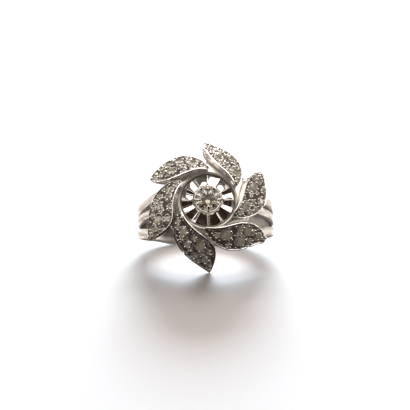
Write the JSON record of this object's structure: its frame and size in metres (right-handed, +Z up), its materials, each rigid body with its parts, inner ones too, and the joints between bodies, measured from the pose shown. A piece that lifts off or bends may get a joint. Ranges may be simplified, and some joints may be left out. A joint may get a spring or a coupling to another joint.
{
  "type": "dress ring",
  "caption": "Gold ring with a band of parallel wires and a flower head: a pinwheel of domed, stone-set leaves round a fluted plate that carries a round stone. Worn on a finger.",
  "frame": {"origin": "on the surface the ring lies on, under the middle of its bounding box", "axes": "+Z up from that surface; the ring lies on its side with its head towards -Y and raised, so +Y is the longest extent and +Z the shortest; +X runs across the finger hole"},
  "size_m": [0.0202, 0.0248, 0.0175],
  "materials": {
    "white_gold": "polished white gold, a little worn",
    "bright_white_gold": "bright-cut white gold",
    "clear_stone": "faceted and clear"
  },
  "bodies": {
    "root": {"band_and_head": "white_gold", "centre_setting": "bright_white_gold", "centre_stone": "clear_stone"}
  },
  "joints": []
}
